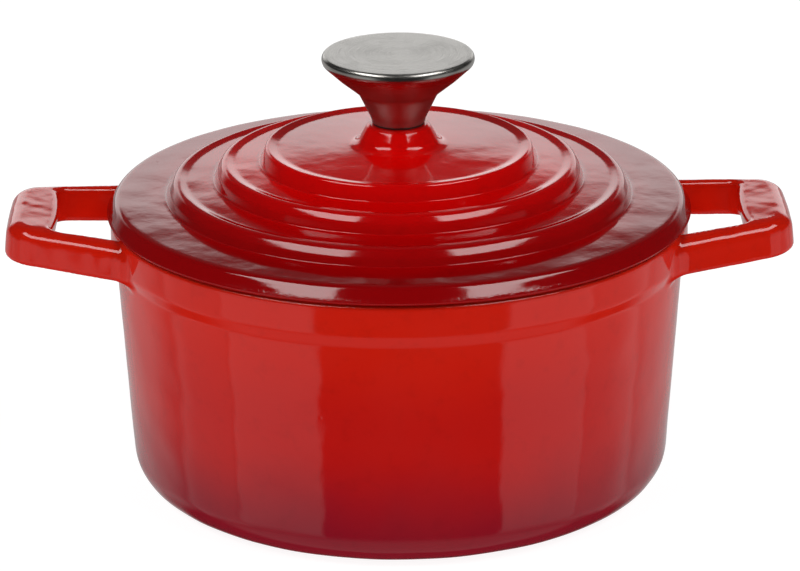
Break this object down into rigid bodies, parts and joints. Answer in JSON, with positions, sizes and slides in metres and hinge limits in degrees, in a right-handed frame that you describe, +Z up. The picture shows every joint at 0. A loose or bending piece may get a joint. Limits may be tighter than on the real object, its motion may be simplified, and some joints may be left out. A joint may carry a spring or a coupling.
{
  "type": "cast iron dutch oven",
  "caption": "Round enamelled cast iron dutch oven with loop handles, a stepped ring lid that lifts off and a flared steel knob.",
  "frame": {"origin": "centre of the pot's foot, on the surface the pot stands on", "axes": "+Z up through the knob, X through the two loop handles, -Y towards the viewer of the front"},
  "size_m": [0.2802, 0.2092, 0.158],
  "materials": {
    "enamel_red": "gloss enamel, brighter at the rim and darker towards the foot",
    "enamel_red_lid": "gloss enamel, deep red at the brim and brighter in the middle",
    "knob_steel": "turned and brushed stainless steel",
    "gasket_black": "matt",
    "hardware_steel": "plain zinc plated steel"
  },
  "bodies": {
    "pot": {"pot": "enamel_red"},
    "knob_set": {"knob": "knob_steel", "knob_gasket": "gasket_black", "flat_washer": "hardware_steel", "lock_washer": "hardware_steel", "knob_screw": "hardware_steel"},
    "lid": {"lid": "enamel_red_lid"}
  },
  "joints": [
    {"name": "lid_lift", "type": "slide", "parent": "pot", "child": "knob_set", "axis": [0, 0, 1], "range_m": [0, 0.2]},
    {"name": "lid_turn", "type": "hinge", "parent": "knob_set", "child": "lid", "pos_m": [0, 0, 0.1], "axis": [0, 0, 1], "continuous": true}
  ]
}
